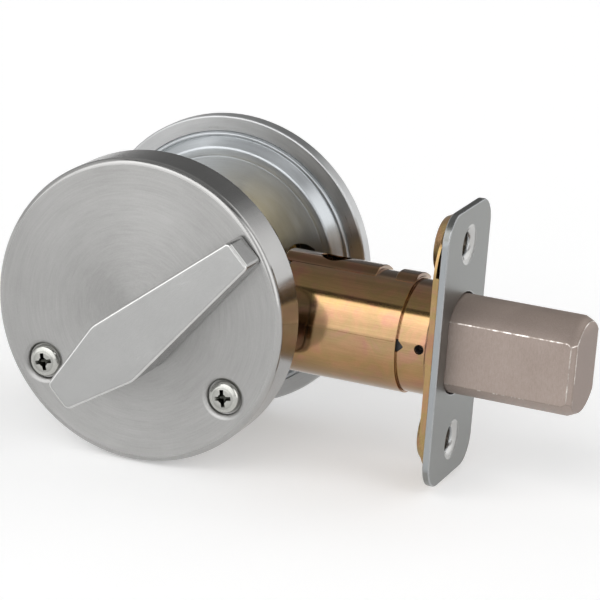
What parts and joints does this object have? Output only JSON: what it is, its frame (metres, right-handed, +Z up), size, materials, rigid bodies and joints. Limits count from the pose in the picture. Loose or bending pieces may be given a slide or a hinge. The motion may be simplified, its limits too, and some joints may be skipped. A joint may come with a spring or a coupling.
{
  "type": "deadbolt door lock",
  "caption": "Tubular deadbolt lock with a round thumbturn rose, latch sleeve and faceplate with a thrown bolt, and a keyed outside ring.",
  "frame": {"origin": "on the bolt's axis, where the turning hub's upright centre plane crosses it", "axes": "+X the way the bolt is thrown, out of the door's edge; +Y towards the outside of the door (key side); +Z up"},
  "size_m": [0.1184, 0.076, 0.0634],
  "materials": {
    "satin_chrome": "satin chrome, fine round brushing",
    "bright_nickel": "bright nickel plate",
    "yellow_zinc": "yellow zinc plate with faint iridescence",
    "satin_nickel_bolt": "warm satin plated bolt, fine lengthwise grain",
    "zinc_steel": "dull stamped steel",
    "turned_zinc": "turned and plated die casting",
    "dark_steel": "oiled dark steel",
    "brass": "machined brass",
    "nylon": "moulded nylon",
    "dark_nylon": "dark moulded nylon"
  },
  "bodies": {
    "housing": {"inside_rose": "satin_chrome", "inside_plate": "zinc_steel", "turn_bushing": "nylon", "wave_washer": "dark_steel", "mounting_screws": "bright_nickel", "faceplate": "zinc_steel", "backplate": "yellow_zinc", "latch_neck": "yellow_zinc", "bolt_guide": "dark_nylon", "latch_sleeve": "yellow_zinc", "sleeve_strap": "yellow_zinc", "inner_cheek": "yellow_zinc", "outer_cheek": "yellow_zinc", "case_rivets": "zinc_steel", "case_spacers": "zinc_steel", "detent_spring": "dark_steel", "outside_ring": "satin_chrome", "outside_plate": "turned_zinc", "cylinder_body": "brass", "cylinder_spacer": "zinc_steel", "tail_retainer": "zinc_steel", "driver_pins": "brass", "pin_springs": "bright_nickel", "chamber_caps": "brass"},
    "turn": {"thumbturn": "satin_chrome", "turn_clip": "dark_steel", "cam_crank": "dark_steel", "tailpiece": "zinc_steel"},
    "bolt": {"deadbolt": "satin_nickel_bolt", "hardened_pin": "dark_steel", "bolt_tail": "zinc_steel", "tail_rivet": "zinc_steel"},
    "plug": {"cylinder_plug": "brass", "key_pins": "brass", "plug_driver": "brass", "driver_screws": "zinc_steel"}
  },
  "joints": [
    {"name": "thumbturn_turn", "type": "hinge", "parent": "housing", "child": "turn", "pos_m": [0, 0, -0.0044], "axis": [0, -1, 0], "range_deg": [0, 90]},
    {"name": "bolt_slide", "type": "slide", "parent": "housing", "child": "bolt", "axis": [1, 0, 0], "range_m": [-0.0254, 0]},
    {"name": "plug_turn", "type": "hinge", "parent": "housing", "child": "plug", "pos_m": [0, 0, -0.0044], "axis": [0, -1, 0], "range_deg": [-90, 90]}
  ],
  "couplings": [
    {"joint": "thumbturn_turn", "follows": "bolt_slide", "rad_per_m": -61.84}
  ]
}
